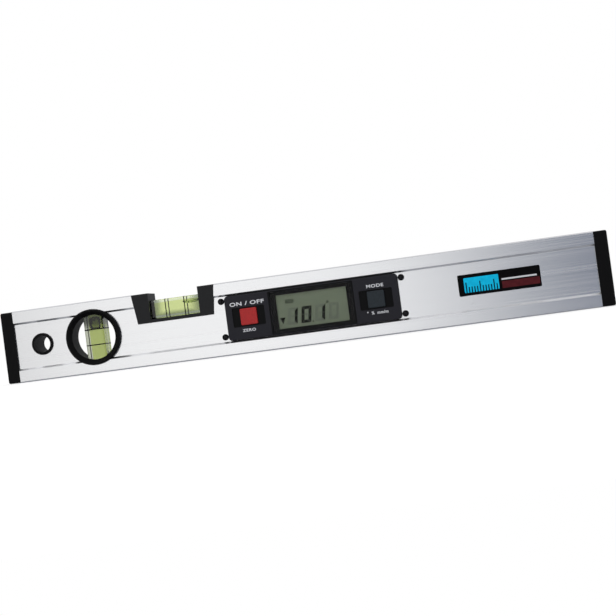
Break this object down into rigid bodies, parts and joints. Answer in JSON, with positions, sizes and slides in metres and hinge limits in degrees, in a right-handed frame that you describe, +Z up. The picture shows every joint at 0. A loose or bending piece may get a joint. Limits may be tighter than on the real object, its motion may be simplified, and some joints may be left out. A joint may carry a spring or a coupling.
{
  "type": "digital spirit level",
  "caption": "Aluminium box-profile spirit level with a tilt display module, a level vial in its top edge, a round plumb vial, a hanging hole and black end caps.",
  "frame": {"origin": "middle of the measuring base, on the surface the level stands on", "axes": "+X along the level to the right seen from the front, -Y out of the front with the display, +Z up"},
  "size_m": [0.5, 0.028, 0.06],
  "materials": {
    "profile_aluminium": "satin anodised, drawn lengthwise",
    "black_plastic": "fine moulded texture",
    "bezel_plastic": "fine moulded texture",
    "red_key": "satin moulded",
    "dark_key": "satin moulded",
    "clear_acrylic": "polished",
    "vial_liquid": "clear tinted liquid",
    "vial_bubble": "air bubble",
    "lcd_glass": "reflective LCD",
    "white_plastic": "moulded",
    "soft_rubber": "soft",
    "board_green": "solder mask",
    "black_steel": "black zinc",
    "bright_metal": "bright can",
    "contact_brass": "plated",
    "label_film": "printed film"
  },
  "bodies": {
    "level_body": {"profile_body": "profile_aluminium", "end_cap_left": "black_plastic", "end_cap_right": "black_plastic", "hang_bush_front": "black_plastic", "hang_bush_rear": "black_plastic", "plumb_ring_front": "black_plastic", "plumb_ring_rear": "black_plastic", "level_vial_holder": "black_plastic", "level_vial_retainer": "black_plastic", "front_label": "label_film", "level_vial_body": "clear_acrylic", "level_vial_liquid": "vial_liquid", "level_vial_plug": "clear_acrylic", "level_vial_lines": "black_plastic", "plumb_vial_body": "clear_acrylic", "plumb_vial_liquid": "vial_liquid", "plumb_vial_plug": "clear_acrylic", "plumb_vial_lines": "black_plastic", "module_gasket": "soft_rubber", "module_bezel": "bezel_plastic", "display_window": "clear_acrylic", "lcd_glass": "lcd_glass", "lcd_spacer": "white_plastic", "zebra_strips": "soft_rubber", "main_board": "board_green", "board_screws": "black_steel", "tilt_sensor": "bright_metal", "controller_chip": "black_plastic", "board_capacitors": "bright_metal", "power_switch_base": "black_plastic", "mode_switch_base": "black_plastic", "module_housing": "bezel_plastic", "module_screws": "black_steel", "battery_cell_upper": "bright_metal", "battery_cell_lower": "bright_metal", "battery_contact_positive": "contact_brass", "battery_contact_negative": "contact_brass", "battery_link": "contact_brass", "battery_frame": "bezel_plastic", "battery_frame_screws": "black_steel"},
    "power_key_set": {"power_key": "red_key", "power_switch_plunger": "white_plastic"},
    "mode_key_set": {"mode_key": "dark_key", "mode_switch_plunger": "white_plastic"},
    "door_set": {"battery_door": "bezel_plastic"},
    "level_bubble_set": {"level_vial_bubble": "vial_bubble"},
    "plumb_bubble_set": {"plumb_vial_bubble": "vial_bubble"}
  },
  "joints": [
    {"name": "power_key_press", "type": "slide", "parent": "level_body", "child": "power_key_set", "axis": [0, 1, 0], "range_m": [0, 0.0008], "stiffness_N_per_m": 2500},
    {"name": "mode_key_press", "type": "slide", "parent": "level_body", "child": "mode_key_set", "axis": [0, 1, 0], "range_m": [0, 0.0008], "stiffness_N_per_m": 2500},
    {"name": "battery_door_slide", "type": "slide", "parent": "level_body", "child": "door_set", "axis": [1, 0, 0], "range_m": [0, 0.058]},
    {"name": "level_bubble_slide", "type": "slide", "parent": "level_body", "child": "level_bubble_set", "axis": [1, 0, 0], "range_m": [-0.025, 0]},
    {"name": "plumb_bubble_slide", "type": "slide", "parent": "level_body", "child": "plumb_bubble_set", "axis": [0, 0, 1], "range_m": [-0.022, 0], "stiffness_N_per_m": 2, "springref_m": 0.01}
  ]
}
